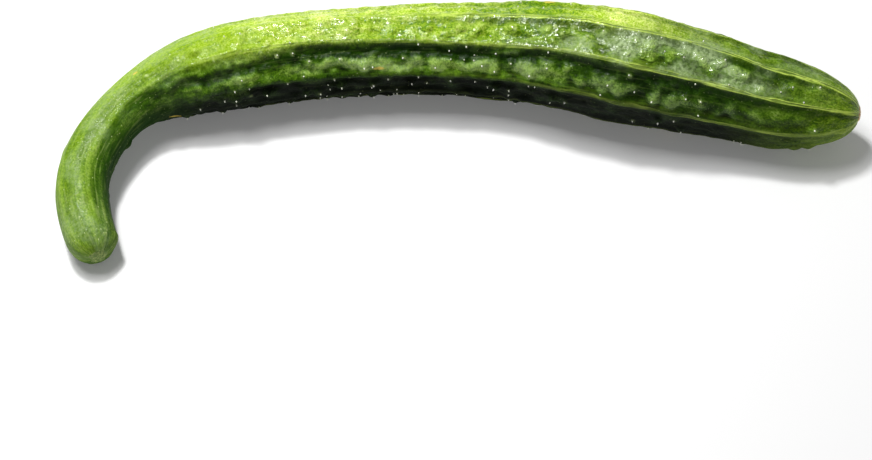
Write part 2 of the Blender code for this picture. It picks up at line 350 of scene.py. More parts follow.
# %% [markdown]
# ## Full radius, round ends and rib relief
#
# Each rib is a rounded crest with a broad, slightly bulging valley to the next one, and the two ends are
# rounded off. The relief fades with the ends, where all ribs run together, and it is lower on the sunny side.

# %% Smooth reach of the skin from the line
SUNNY_RELIEF = 0.5

stem_part = np.clip(1.0 - place / STEM_ROUND, 0.0, 1.0)
blossom_part = np.clip(1.0 - (LENGTH - place) / BLOSSOM_ROUND, 0.0, 1.0)
blossom_round_off = (1.0 - blossom_part ** BLOSSOM_BLUNTNESS) ** (1.0 / BLOSSOM_BLUNTNESS)
round_off = (1.0 - stem_part ** 2) ** 0.5 * blossom_round_off
crest_radius = radius_at(place)
full_radius = crest_radius * round_off
full_depth = depth * round_off

from_crest = np.broadcast_to(2.0 * np.minimum(fraction, 1.0 - fraction), place.shape)
profile = np.exp(-(from_crest / CREST_WIDTH) ** CREST_FLATNESS)
profile = profile + VALLEY_BULGE * np.sin(math.pi / 2.0 * from_crest) ** 4
relief = full_depth * (profile - 1.0) * (1.0 - (1.0 - SUNNY_RELIEF) * pale)
from_rib = from_crest / 2.0 * np.radians(gap_angles).T * full_radius
print("valleys are up to", round(float(-relief.min()), 2), "mm deep")

# %% [markdown]
# ## Lumps, mounds and wrinkles
#
# The skin is uneven on three scales: lumps about a centimetre across, soft mounds that fill the valleys
# between the ribs, and wrinkles of a millimetre or two. The shoulder has long folds as well. They could be a
# bump texture only, but then the outline and the shadows in the valleys would stay smooth, so they are real
# relief. The outer side of the bend is calmer.

# %% Lumps as in the solid, mounds and wrinkles
LUMP_HEIGHT = 0.8
LUMP_SIZE = 13.0
CALM_ANGLE = -52.0
CALM_COSINES = (0.45, 0.9)
CALM_LUMPS = 0.6
MOUND_SIZES = (7.5, 4.2)
MOUND_HEIGHTS = (0.8, 0.95)
MOUND_FOOT = 0.1
MOUND_GAIN = 1.7
ROUGH_STRETCH = 1.2
VALLEY_EDGE = (0.12, 0.5)
WRINKLE_SIZES = (3.0, 1.7)
WRINKLE_HEIGHTS = (0.6, 0.42)
CREST_WRINKLES, VALLEY_WRINKLES = 0.55, 0.45
CRINKLE_PLACES = (60.0, 85.0, 110.0, 150.0, 280.0, 325.0, LENGTH)
CRINKLE_SUNNY = (0.05, 0.15, 0.3, 0.85, 1.0, 0.4, 0.15)
CRINKLE_SHADY = (0.1, 0.75, 1.0, 1.0, 1.0, 0.5, 0.2)
CALM_UNDER = 0.4
SHADED_EDGE = (-4.0, 6.0)
FOLD_SIZE = 4.5
FOLD_HEIGHT = 0.9
FOLD_STRETCH = 5.0
FOLD_ANGLES = (5.0, 30.0)
FOLD_SHARES = (55.0, 80.0, 140.0, 185.0), (0.0, 1.0, 0.7, 0.0)

lumps = LUMP_HEIGHT * noise_field(LUMP_SIZE, seed=0) * np.minimum(1.0, full_depth)
calm_back = smooth_step(np.cos(angle - math.radians(CALM_ANGLE)), *CALM_COSINES)
lumps *= 1.0 - CALM_LUMPS * calm_back

sunny = np.interp(place, CRINKLE_PLACES, CRINKLE_SUNNY)
shady = np.interp(place, CRINKLE_PLACES, CRINKLE_SHADY)
shaded = smooth_step(turned - border, *SHADED_EDGE)
crinkle = sunny + shaded * (shady - sunny)
in_valley = np.maximum(smooth_step(from_crest, *VALLEY_EDGE), on_neck)
mounds = np.zeros(place.shape)
for index, (size, height) in enumerate(zip(MOUND_SIZES, MOUND_HEIGHTS)):
    swellings = noise_field(size, seed=index + 1, stretch=ROUGH_STRETCH) + MOUND_FOOT
    mounds += height * MOUND_GAIN * np.maximum(0.0, swellings)
crinkle *= 1.0 - CALM_UNDER * under
mounds *= crinkle * in_valley
wrinkles = np.zeros(place.shape)
for index, (size, height) in enumerate(zip(WRINKLE_SIZES, WRINKLE_HEIGHTS)):
    wrinkles += height * noise_field(size, seed=index + 5, stretch=ROUGH_STRETCH)
wrinkles *= crinkle * (CREST_WRINKLES + VALLEY_WRINKLES * in_valley)
folds = FOLD_HEIGHT * noise_field(FOLD_SIZE, seed=13, stretch=FOLD_STRETCH)
folds *= smooth_step(turned, *FOLD_ANGLES)
folds *= np.interp(place, *FOLD_SHARES)
print("mounds up to", round(float(mounds.max()), 2), "mm")
print("wrinkles up to", round(float(wrinkles.max()), 2), "mm")

# %% [markdown]
# ## Hollows below the ribs
#
# Below the third rib the skin sinks into a hollow with a low swell beyond it, and the hollow is painted
# dark as shade. How far the hollow lies from the rib, and how wide, deep and dark it is, changes along
# the fruit, so each is a row of values read at the same places. Below the second rib lies a shorter one
# that is only painted shade, not deep. A noise about a centimetre across keeps both from running dead
# straight.

# %% Hollows with painted shade, and the swell beyond them
HOLLOW_PLACES = (70.0, 100.0, 112.0, 124.0, 140.0, 158.0, 225.0, 250.0, 300.0, 335.0, LENGTH)
HOLLOW_AWAY = (3.0, 7.2, 8.0, 7.6, 5.0, 4.2, 4.4, 4.0, 3.8, 2.6, 1.2)
HOLLOW_WIDTHS = (1.6, 1.8, 2.0, 2.2, 2.5, 2.7, 2.7, 2.5, 2.6, 2.0, 1.0)
HOLLOW_DEPTHS = (0.0, 0.6, 0.9, 1.0, 0.9, 0.8, 0.6, 0.2, 0.0, 0.0, 0.0)
HOLLOW_SHADES = (0.0, 0.1, 0.5, 0.8, 0.85, 0.85, 0.8, 0.35, 0.6, 0.7, 0.2)
UPPER_AWAY = 2.8
UPPER_WIDTH = 1.7
UPPER_SHADES = (190.0, 240.0, 325.0, 350.0), (0.0, 0.6, 0.6, 0.0)
SWELL_BEYOND = 5.4
SWELL_WIDTH = 2.6
SWELL_HEIGHT = 0.6
SWELL_SHARES = (105.0, 140.0, 250.0, 300.0), (0.0, 1.0, 1.0, 0.0)
UNSTEADY_SIZE = 9.0
HOLLOW_UNSTEADY = 1.7
UPPER_UNSTEADY = 1.4
HOLLOW_CALM = 0.7

below_third = np.radians(turned - crest_angles[THIRD_RIB][:, None]) * full_radius
unsteady = noise_field(UNSTEADY_SIZE, seed=17)
past_hollow = below_third - np.interp(place, HOLLOW_PLACES, HOLLOW_AWAY) + HOLLOW_UNSTEADY * unsteady
hollow = np.exp(-(past_hollow / np.interp(place, HOLLOW_PLACES, HOLLOW_WIDTHS)) ** 2)
swell = np.exp(-((past_hollow - SWELL_BEYOND) / SWELL_WIDTH) ** 2)
swell *= np.interp(place, *SWELL_SHARES)
mounds *= 1.0 - HOLLOW_CALM * hollow
folds += SWELL_HEIGHT * swell - hollow * np.interp(place, HOLLOW_PLACES, HOLLOW_DEPTHS)
# The hollow's darkness is painted shade.
hollow *= np.interp(place, HOLLOW_PLACES, HOLLOW_SHADES)
below_second = np.radians(turned - crest_angles[SECOND_RIB][:, None]) * full_radius
upper_hollow = np.exp(-((below_second - UPPER_AWAY + UPPER_UNSTEADY * unsteady) / UPPER_WIDTH) ** 2)
hollow = np.maximum(hollow, upper_hollow * np.interp(place, *UPPER_SHADES))
print("share of the skin in a hollow:", round(float(hollow.mean()), 3))

# %% [markdown]
# ## Warts
#
# The solid has its larger warts on a coarse grid. The same rule, with the same draws, puts them here again as
# wider and rounder domes, and another rule adds many smaller ones. A wart on the crest of a rib is narrower
# and lower than one in a valley. Most of the larger ones get a pale tip, which the material paints: partly
# the wart's own paler apex, partly a painted glint.

# %% The warts of the solid, and smaller ones between them
SOLID_COLUMNS = (0.08, 0.27, 0.5, 0.73, 0.92)
SOLID_RINGS = (6, 15, 74, 11)
WART_SEED = 5
WART_TRIES = 900
WART_HEIGHTS = (0.6, 1.3)
WART_ENDS = (75.0, LENGTH - 14.0)
WART_SHARES = (0.0, 95.0, 150.0, 260.0, 320.0, 365.0), (0.1, 0.3, 1.0, 1.0, 0.4, 0.25)
CREST_CHANCE = 0.5
SPINE_BANDS = 20
SPINES_IN_BAND = 3
SPINE_TURN = 7
SPINE_WART = 0.8
SPINE_END_GAP = 6.0
SMALL_WART_SEED = 11
SMALL_WART_TRIES = 620
SMALL_WART_ENDS = (20.0, LENGTH - 8.0)
SMALL_WART_COLUMNS = (0.05, 0.95)
SMALL_WART_HEIGHTS = (0.25, 0.5)
SMALL_WARTS_ANYWHERE, SMALL_WARTS_ON_BODY = 0.15, 0.85


def solid_warts():
    """Return the solid's warts, each as place, rib, share of the gap to the next rib, and height."""
    coarse = ring_places(*SOLID_RINGS)
    count = RIB_COUNT * len(SOLID_COLUMNS)
    draw = random.Random(WART_SEED)
    found = {}
    for _ in range(WART_TRIES):
        where = draw.uniform(*WART_ENDS)
        column = draw.randrange(count)
        height = draw.uniform(*WART_HEIGHTS)
        luck = draw.random()
        ring = int(np.argmin(np.abs(coarse - where)))
        around = [(ring + i, (column + j) % count) for i in (-1, 0, 1) for j in (-1, 0, 1)]
        on_crest = column % len(SOLID_COLUMNS) in (0, len(SOLID_COLUMNS) - 1)
        share = float(np.interp(where, *WART_SHARES)) * (CREST_CHANCE if on_crest else 1.0)
        if luck <= share and not any(point in found for point in around):
            found[ring, column] = height
    for band in range(SPINE_BANDS):
        where = SPINE_END_GAP + band / (SPINE_BANDS - 1) * (LENGTH - 2.0 * SPINE_END_GAP)
        ring = int(np.argmin(np.abs(coarse - where)))
        for i in range(SPINES_IN_BAND):
            found[ring, (band * SPINE_TURN + i * count // SPINES_IN_BAND) % count] = SPINE_WART
    return [
        (coarse[ring], column // len(SOLID_COLUMNS), SOLID_COLUMNS[column % len(SOLID_COLUMNS)], height)
        for (ring, column), height in found.items()
    ]


def small_warts():
    """Return many smaller warts, most of them on the middle of the fruit."""
    draw = random.Random(SMALL_WART_SEED)
    spots = []
    for _ in range(SMALL_WART_TRIES):
        where = draw.uniform(*SMALL_WART_ENDS)
        rib = draw.randrange(RIB_COUNT)
        share = draw.uniform(*SMALL_WART_COLUMNS)
        height = draw.uniform(*SMALL_WART_HEIGHTS)
        on_body = float(np.interp(where, *WART_SHARES))
        if draw.random() < SMALL_WARTS_ANYWHERE + SMALL_WARTS_ON_BODY * on_body:
            spots.append((where, rib, share, height))
    return spots


large_spots = solid_warts()
small_spots = small_warts()
print("warts of the solid:", len(large_spots), "smaller ones:", len(small_spots))

# %% Raise a dome at each wart
VALLEY_WART = (3.8, 1.4)
CREST_WART = (2.6, 0.45)
SMALL_WART = 2.0
CREST_REACH = 0.15
LEAST_ROUND = 0.2
WART_SPREAD = (0.75, 1.15)
SMALL_WART_SPREAD = (0.7, 1.3)
SPREAD_SEED = 3
TIP_REACH = 0.05
TIP_STRENGTHS = (-0.2, 1.0)
TIP_SEED = 21

warts = np.zeros(place.shape)
tips_and_glints = np.zeros(place.shape)


def raise_dome(where, rib, share, height, reach, tip=0.0):
    """Raise a smooth dome of that height and radius, in millimetres, on the grid, with a lighter apex that is
    partly a painted glint.
    """
    rows = np.nonzero(np.abs(rings - where) < reach)[0]
    if len(rows) == 0:
        return
    row = int(np.argmin(np.abs(rings - where)))
    middle = math.radians(crest_angles[rib, row] + share * gap_angles[rib * COLUMNS_PER_RIB, row])
    turn = (angle[rows] - middle + math.pi) % (2.0 * math.pi) - math.pi
    across = turn * crest_radius[rows] * np.maximum(LEAST_ROUND, round_off[rows])
    away = ((place[rows] - where) ** 2 + across ** 2) / reach ** 2
    dome = np.where(away < 1.0, (1.0 - np.minimum(away, 1.0)) ** 2, 0.0)
    warts[rows] = np.maximum(warts[rows], height * dome)
    tips_and_glints[rows] = np.maximum(tips_and_glints[rows], tip * np.maximum(0.0, 1.0 - away / TIP_REACH))


wobble = random.Random(SPREAD_SEED)
tip_luck = random.Random(TIP_SEED)
for where, rib, share, height in large_spots:
    radius, lower = CREST_WART if min(share, 1.0 - share) < CREST_REACH else VALLEY_WART
    tip = max(0.0, tip_luck.uniform(*TIP_STRENGTHS))
    raise_dome(where, rib, share, height * lower, radius * wobble.uniform(*WART_SPREAD), tip)
for where, rib, share, height in small_spots:
    raise_dome(where, rib, share, height, SMALL_WART * wobble.uniform(*SMALL_WART_SPREAD))
print("highest wart:", round(float(warts.max()), 2), "mm")

# %% [markdown]
# ## From reach to points in space
#
# Each point is set out from the line by its reach, in the direction of its angle. The scars press in the two
# ends a little, the same as in the solid, and the three rest spots are flat on the table. The solid was
# centred on its box, so the points are moved the same way, and any that would pass the box are eased back.

# %% Points in space
STEM_SCAR_RADIUS = 6.0
STEM_SCAR_DISH = 0.7
BLOSSOM_SCAR_RADIUS = 4.0
BLOSSOM_SCAR_RISE = -0.7


def frame_at(places):
    """Return the middle, the direction along and the direction to the inner side, each as x, y pairs."""
    ahead, behind = np.minimum(LENGTH, places + 0.5), np.maximum(0.0, places - 0.5)
    middle = np.stack([line_x(places), line_y(places)], axis=-1)
    along = np.stack([line_x(ahead) - line_x(behind), line_y(ahead) - line_y(behind)], axis=-1)
    along /= np.linalg.norm(along, axis=-1, keepdims=True)
    return middle, along, np.stack([along[..., 1], -along[..., 0]], axis=-1)


def rest_share(places):
    """Return how near each place is to the middle of a rest spot: 1 there, falling to 0."""
    return np.max([np.exp(-((places - spot) / half) ** 2) for spot, half in REST_SPOTS], axis=0)


def end_relief(places, reaches):
    """Return how far a point on an end is moved along the line by the scar there."""
    dish = STEM_SCAR_DISH * np.cos(math.pi / 2.0 * np.minimum(1.0, reaches / STEM_SCAR_RADIUS))
    rise = BLOSSOM_SCAR_RISE * np.cos(math.pi / 2.0 * np.minimum(1.0, reaches / BLOSSOM_SCAR_RADIUS))
    return np.where(places < STEM_ROUND, dish, 0.0) + np.where(places > LENGTH - BLOSSOM_ROUND, rise, 0.0)


def skin_points(places, angles, reaches, sideways=0.0):
    """Return the points in space, in millimetres; sideways moves them along the line."""
    middle, along, inner = frame_at(places)
    share = rest_share(places)
    lift = (1.0 - share) * gap_at(places) - share * REST_DEPTH
    side = np.sin(angles) * reaches
    shift = end_relief(places, reaches) + sideways
    flat = middle + inner * side[..., None] + along * shift[..., None]
    height = radius_at(places) + lift + np.cos(angles) * reaches
    height = np.where(height < PRESSED_HEIGHT * share, 0.0, np.maximum(0.0, height))
    return np.concatenate([flat, height[..., None]], axis=-1)


SOLID_SHIFT = np.array([-0.15, 0.03, 0.0])
BOX_MARGIN = 0.06
SOFT_MARGIN = 0.9
CALM_SUNNY = 0.35
CALM_BACK = 0.7
solid_low, solid_high = (np.array(corner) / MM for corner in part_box(NODE))


def settle(positions):
    """Centre points as the solid is centred, and ease those at its box's faces back inside."""
    middle = (solid_low + solid_high) / 2.0
    half = (solid_high - solid_low) / 2.0 - BOX_MARGIN
    away = positions + SOLID_SHIFT - middle
    past = np.maximum(0.0, np.abs(away) - (half - SOFT_MARGIN))
    kept = np.minimum(np.abs(away), half - SOFT_MARGIN)
    eased = np.sign(away) * (kept + SOFT_MARGIN * np.tanh(past / SOFT_MARGIN))
    eased[..., 2] = np.where(away[..., 2] > 0.0, eased[..., 2], away[..., 2])
    return middle + eased


roughing = (warts + mounds) * (1.0 - CALM_SUNNY * pale) * (1.0 - CALM_BACK * calm_back)
reach = full_radius + relief + lumps + roughing + wrinkles + folds
reach = np.maximum(0.0, reach - SKIN_INSET * np.minimum(1.0, full_depth))
reach[0] = reach[-1] = 0.0
points = settle(skin_points(place, angle, reach))
low, high = points.reshape(-1, 3).min(axis=0), points.reshape(-1, 3).max(axis=0)
print("skin's size in mm:", (high - low).round(2), "solid's:", (solid_high - solid_low).round(2))

# %% [markdown]
# ## The skin as a mesh
#
# `bmesh.ops.create_uvsphere` makes the closed grid, and each of its points moves to its place. The sphere
# numbers its points in its own way, so the ring and column of each one are worked out from where it lies.

# %% Build the skin
FIRST_COLUMN_TURN = 0.25


def new_object(name, data):
    """Return a new object for a mesh, light or camera, linked into the scene."""
    thing = bpy.data.objects.new(name, data)
    bpy.context.scene.collection.objects.link(thing)
    return thing


def store(mesh, name, values, kind="FLOAT"):
    """Store one value, or one vector, for each point of the mesh."""
    layer = mesh.attributes.new(name, kind, "POINT")
    field = "vector" if kind == "FLOAT_VECTOR" else "value"
    layer.data.foreach_set(field, np.asarray(values, np.float32).ravel())


def made_mesh(name, maker):
    """Return a new mesh of what the maker holds, and free the maker."""
    mesh = bpy.data.meshes.new(name)
    maker.to_mesh(mesh)
    maker.free()
    return mesh


def sphere_mesh(name, segments, rings_in_ball):
    """Return a unit sphere's mesh and its points."""
    maker = bmesh.new()
    bmesh.ops.create_uvsphere(maker, u_segments=segments, v_segments=rings_in_ball, radius=1.0)
    mesh = made_mesh(name, maker)
    ball = np.empty(len(mesh.vertices) * 3, np.float32)
    mesh.vertices.foreach_get("co", ball)
    return mesh, ball.reshape(-1, 3).astype(float)


def shape_mesh(mesh, positions_mm):
    """Move the points of a mesh to their places, turn its faces outwards and shade it smooth."""
    mesh.vertices.foreach_set("co", (positions_mm * MM).astype(np.float32).ravel())
    fixer = bmesh.new()
    fixer.from_mesh(mesh)
    bmesh.ops.recalc_face_normals(fixer, faces=fixer.faces)
    fixer.to_mesh(mesh)
    fixer.free()
    mesh.shade_smooth()


skin_mesh, ball = sphere_mesh("cucumber_skin", COLUMN_COUNT, len(rings) - 1)
ring_of = np.rint(np.arccos(np.clip(ball[:, 2], -1.0, 1.0)) / math.pi * (len(rings) - 1)).astype(int)
ball_turn = np.arctan2(ball[:, 1], ball[:, 0]) / (2.0 * math.pi) - FIRST_COLUMN_TURN
column_of = np.rint(ball_turn * COLUMN_COUNT).astype(int) % COLUMN_COUNT
shape_mesh(skin_mesh, points[ring_of, column_of])
skin = new_object("cucumber_skin", skin_mesh)
print("skin:", len(skin_mesh.vertices), "points,", 2 * len(skin_mesh.polygons), "triangles at most")

# %% [markdown]
# ## What the material reads from the skin
#
# Each rib carries a light line, strong on the sunny side and faint in the shade, with pale strands above it,
# both given at three places. A few short healed marks each have a place, an angle, half a length and half a
# width. All this could be painted on an image, but values stored on the points follow the fruit exactly. The
# height, which also darkens the low places as painted shade, leaves most of a wart out, so that warts keep
# the colour round them, and the frost in the shade, partly a painted sparkle, lies only on what stands high.

# %% Store the light lines, the heights and the pale side
RIB_LIGHTS = (
    (0.3, 0.5, 0.7),
    (0.0, 0.9, 1.0),
    (0.35, 0.5, 0.9),
    (0.0, 0.1, 0.5),
    (0.0, 0.05, 0.15),
    (0.1, 0.3, 0.5),
    (0.3, 0.5, 0.7),
) + ((0.3, 0.6, 0.8),) * 3
RIB_FRINGES = (
    (0.1, 0.2, 0.2),
    (0.0, 0.5, 0.15),
    (0.3, 0.45, 0.2),
    (0.0, 0.2, 0.1),
) + ((0.0, 0.1, 0.1),) * 6
MARKS = (
    (172.0, 64.0, 2.4, 0.7),
    (79.0, -19.0, 1.0, 0.7),
    (87.0, 112.0, 2.6, 0.8),
    (236.0, -38.0, 2.2, 0.8),
    (141.0, -74.0, 3.0, 1.0),
    (288.0, 151.0, 2.4, 1.1),
    (203.0, 205.0, 3.2, 1.2),
    (322.0, -95.0, 1.8, 0.8),
)
FAR_FROM_MARKS = 9.0
LINE_START_SHARES = (70.0, 125.0), (0.12, 1.0)
LUMPS_SEEN, WARTS_LEFT_OUT, FOLDS_SEEN = 0.4, 0.7, 1.3
HEIGHT_RANGE = (-0.8, 2.0)
FROSTED_HEIGHTS = (0.3, 0.7)
DRY_HOLLOW = 0.8

nearest = (cell + (fraction >= 0.5)) % RIB_COUNT
rib_light, rib_fringe = (
    np.array([np.interp(rings, RIB_PLACES, values) for values in rows])[nearest].T
    for rows in (RIB_LIGHTS, RIB_FRINGES)
)
rib_light = rib_light * np.interp(place, *LINE_START_SHARES)
stands = LUMPS_SEEN * lumps + roughing - WARTS_LEFT_OUT * warts + wrinkles + FOLDS_SEEN * folds
height_share = smooth_step(stands, *HEIGHT_RANGE)
inner_side = np.broadcast_to(np.where(fraction < 0.5, 1.0, 0.0), place.shape)
# In the shade, bloom and sheen stays on what stands high, where it is partly a painted sparkle.
bloom *= 1.0 - past_third * (1.0 - on_neck) * (1.0 - smooth_step(height_share, *FROSTED_HEIGHTS))
mark = np.full(place.shape, FAR_FROM_MARKS)
for where, turn, half_length, half_width in MARKS:
    aside = (np.radians(turn) - angle + math.pi) % (2.0 * math.pi) - math.pi
    mark = np.minimum(mark, np.hypot((place - where) / half_length, aside * full_radius / half_width))

for name, values in {
    "from_rib": from_rib,
    "inner_side": inner_side,
    "rib_light": rib_light,
    "rib_fringe": rib_fringe,
    "pale": pale,
    "under": under,
    "gloom": gloom,
    "ripe": ripe,
    "bloom": bloom,
    "wet": wet * (1.0 - DRY_HOLLOW * hollow),
    "hollow": hollow,
    "tip": np.minimum(1.0, tips_and_glints),
    "mark": mark,
    "height": height_share,
}.items():
    store(skin_mesh, name, values[ring_of, column_of])
store(skin_mesh, "flow", flow[ring_of, column_of], "FLOAT_VECTOR")
names = [layer.name for layer in skin_mesh.attributes if layer.name[0] != "."]
print("stored on the points:", ", ".join(names))

# %% [markdown]
# ## Nodes in few words
#
# A material is a net of nodes. This small class keeps the lines below short: each method adds the nodes for
# one thought, such as noise of a size in millimetres, a mask, or one colour laid over another.

# %% Helpers for node materials


def srgb(red, green, blue):
    """Return a colour given as 0 to 255 screen values as the linear values that a shader takes."""
    values = [v / 255.0 for v in (red, green, blue)]
    return tuple(v / 12.92 if v <= 0.04045 else ((v + 0.055) / 1.055) ** 2.4 for v in values) + (1.0,)


class Nodes:
    """A short way to add nodes to one material."""

    def __init__(self, name):
        self.material = bpy.data.materials.new(name)
        self.material.use_nodes = True
        self.tree = self.material.node_tree
        self.shader = self.tree.nodes["Principled BSDF"]

    def fill(self, node, inputs):
        """Set or link inputs of a node, each found by its name or number, and return the node."""
        for key, value in inputs.items():
            if isinstance(value, bpy.types.NodeSocket):
                self.tree.links.new(value, node.inputs[key])
            else:
                node.inputs[key].default_value = value
        return node

    def add(self, kind, inputs=None, **settings):
        """Add a node, set its properties, and fill its inputs."""
        node = self.tree.nodes.new(kind)
        for key, value in settings.items():
            setattr(node, key, value)
        return self.fill(node, inputs or {})

    def stored(self, name, vector=False):
        """Return what is stored on the points under that name."""
        node = self.add("ShaderNodeAttribute", attribute_name=name)
        return node.outputs["Vector" if vector else "Fac"]

    def math(self, operation, first, second):
        """Return the result of one step of arithmetic."""
        return self.add("ShaderNodeMath", {0: first, 1: second}, operation=operation).outputs[0]

    def times(self, *values):
        """Return the product of several values."""
        return functools.reduce(functools.partial(self.math, "MULTIPLY"), values)

    def sum(self, *values):
        """Return the sum of several values."""
        return functools.reduce(functools.partial(self.math, "ADD"), values)

    def ramp(self, value, low, high, start=0.0, end=1.0):
        """Return the value moved smoothly from start to end while it goes from low to high."""
        inputs = {"Value": value, "From Min": low, "From Max": high, "To Min": start, "To Max": end}
        return self.add("ShaderNodeMapRange", inputs, interpolation_type="SMOOTHSTEP").outputs["Result"]

    def fade(self, share, start, end):
        """Return a number that goes smoothly from start to end while a share goes from 0 to 1."""
        return self.ramp(share, 0.0, 1.0, start, end)

    def mix(self, share, first, second):
        """Return the second colour laid over the first by a share."""
        inputs = {0: share, 6: first, 7: second}
        return self.add("ShaderNodeMix", inputs, data_type="RGBA", clamp_factor=True).outputs[2]

    def steps(self, value, *stops):
        """Return a colour that goes through the stops, each a value and a colour, as the value rises."""
        ramp = self.add("ShaderNodeValToRGB", {"Fac": value})
        points = ramp.color_ramp.elements
        points[0].position, points[0].color = stops[0]
        points[1].position, points[1].color = stops[-1]
        for position, colour in stops[1:-1]:
            points.new(position).color = colour
        return ramp.outputs["Color"]

    def scaled(self, where, size, stretch=1.0, shift=0.0):
        """Return coordinates in steps of size millimetres, drawn out along the fruit by stretch."""
        scale = (1.0 / (size * stretch), 1.0 / size, 1.0 / size)
        inputs = {"Vector": where, "Scale": scale, "Location": (shift,) * 3}
        return self.add("ShaderNodeMapping", inputs).outputs[0]

    def noise(self, where, size, detail=2.0, stretch=1.0, roughness=0.5, shift=0.0):
        """Return noise whose features are about size millimetres across."""
        inputs = {"Vector": self.scaled(where, size, stretch, shift), "Scale": 1.0, "Detail": detail}
        return self.add("ShaderNodeTexNoise", {**inputs, "Roughness": roughness}).outputs["Fac"]

    def dots(self, where, size, reach, share, stretch=1.0):
        """Return a mask of small soft dots: one chance in a cell of that size, that share of them filled."""
        cells = self.add("ShaderNodeTexVoronoi", {"Vector": self.scaled(where, size, stretch), "Scale": 1.0})
        chosen = self.add("ShaderNodeSeparateColor", {"Color": cells.outputs["Color"]}).outputs[0]
        near = self.ramp(cells.outputs["Distance"], reach * 0.5, reach, 1.0, 0.0)
        return self.times(near, self.math("LESS_THAN", chosen, share))

    def bump(self, height, depth, strength=1.0):
        """Return the skin's direction as tilted by the slopes of a height; depth is in metres."""
        inputs = {"Height": height, "Distance": depth, "Strength": strength}
        return self.add("ShaderNodeBump", inputs).outputs[0]


# %% [markdown]
# ## The skin's greens
#
# A cucumber's skin is a waxy, slightly wet film over green flesh. Each green is a row of colours, from the
# dark of a hollow to the light of a mound, unsettled by a fine grain and by patches. The light on the mounds
# is partly the skin's own paler warts, and the dark in the hollows is painted shade. The shaded green, the
# near side's own green made darker as painted shade, comes first, then the neck with its ribbons, the
# underside, its own dark green painted nearly black as shade, and last the sunny yellow green, painted
# lighter where the light falls. Rows that read the height keep light and dark where the relief is, which
# one flat image would not.

# %% Greens of the shade, the neck, the underside and the sun
# The shaded green: the near side's own green, darker in the hollows and made darker as painted shade.
SHADE = (0.0, srgb(22, 46, 2)), (0.25, srgb(58, 94, 8)), (0.55, srgb(92, 132, 20)), (1.0, srgb(150, 184, 76))
# Deeper shade: darker greens for the painted shade laid over the shaded green.
DEEPER_SHADE = (0.0, srgb(10, 26, 2)), (0.3, srgb(28, 54, 4)), (0.6, srgb(46, 76, 10)), (1.0, srgb(98, 128, 50))
# The underside's greens: its own dark green, painted nearly black as shade.
UNDERSIDE_SHADE = (0.0, srgb(4, 10, 2)), (0.5, srgb(10, 22, 5)), (1.0, srgb(30, 48, 16))
# Sunlit pale: the fruit's own yellow green with painted light in it; its top stop is nearly white.
SUNLIT_PALE = (0.05, srgb(92, 144, 4)), (0.5, srgb(170, 206, 34)), (0.95, srgb(236, 250, 140))
NECK = (0.1, srgb(52, 90, 8)), (0.5, srgb(86, 126, 26)), (0.95, srgb(152, 180, 76))
# The neck's inner side, turned from the light, painted dark as shade.
NECK_INNER_SHADE = srgb(24, 58, 4)

n = Nodes("cucumber_skin")
at = n.stored("flow", vector=True)
along = n.add("ShaderNodeSeparateXYZ", {"Vector": at}).outputs[0]
neck_share = n.ramp(along, 58.0, 105.0, 1.0, 0.0)
pale_and_lit_share, underside_shade_share, tall = n.stored("pale"), n.stored("under"), n.stored("height")

grain = n.ramp(n.noise(at, 0.8, detail=3.0, roughness=0.7), 0.34, 0.66, -0.28, 0.28)
mottle = n.ramp(n.noise(at, 2.3, stretch=1.3, shift=12.0), 0.32, 0.68, -0.12, 0.12)
patches = n.sum(mottle, n.ramp(n.noise(at, 9.0, stretch=1.7, shift=4.0), 0.3, 0.7, -0.1, 0.1))
shade_grain = n.times(grain, n.ramp(tall, 0.2, 0.8, 0.35, 1.1))
# Low places take the dark end of the row, as painted shade in the hollows, and high ones the light end.
in_shade = n.sum(n.fade(tall, 0.05, 0.95), shade_grain, n.times(patches, 0.8))
sun_grain = n.times(grain, n.ramp(along, 100.0, 150.0, 0.6, 1.0))
sun_patches = n.times(patches, n.ramp(along, 100.0, 150.0, 0.35, 1.0))
in_sun = n.sum(n.fade(tall, 0.36, 0.62), n.sum(sun_grain, sun_patches), n.stored("ripe"))

ribbons = n.ramp(n.noise(at, 4.2, stretch=7.0, shift=18.0), 0.36, 0.64, -0.3, 0.3)
# Lay the deeper painted shade over the shaded green.
base = n.mix(n.stored("gloom"), n.steps(in_shade, *SHADE), n.steps(in_shade, *DEEPER_SHADE))
base = n.mix(n.times(neck_share, 0.85), base, n.steps(n.sum(in_sun, ribbons), *NECK))
# The underside and the neck's inner side: their own dark green, painted darker as shade.
base = n.mix(underside_shade_share, base, n.mix(neck_share, n.steps(in_shade, *UNDERSIDE_SHADE), NECK_INNER_SHADE))
# Lay the sunny green over the top: partly its own colour, partly painted light.
base = n.mix(pale_and_lit_share, base, n.steps(in_sun, *SUNLIT_PALE))
print("nodes for the greens:", len(n.tree.nodes))

# %% [markdown]
# ## Hollows, pale tips and rib lines
#
# The hollows' painted shade and the pale tips of the warts are laid over the greens; the tips are partly the
# warts' own paler apex and partly painted glints. Then each rib gets its light line, torn by fine streaks and
# broken where it is faint, with pale strands on one side, a band of painted shade on the other and a fine
# dark slit along its middle. They could be tubes of their own, but on a real fruit they are only colour. The
# distance from the rib wavers a little, so that no line is dead straight.

# %% Hollows, tips and rib lines
HOLLOW_PAINTED_SHADE = srgb(18, 48, 0)
PALE_TIP_AND_GLINT = srgb(208, 228, 150)
FRINGE = srgb(140, 174, 46)
RIB_IN_SHADE = srgb(204, 230, 100)
RIB_IN_SUN = srgb(214, 240, 98)
RIB_SLIT = srgb(44, 80, 10)

rib_share, inner_share = n.stored("rib_light"), n.stored("inner_side")
off_rib = n.sum(n.stored("from_rib"), n.ramp(n.noise(at, 2.5, stretch=6.0, shift=2.0), 0.3, 0.7, -0.4, 0.4))
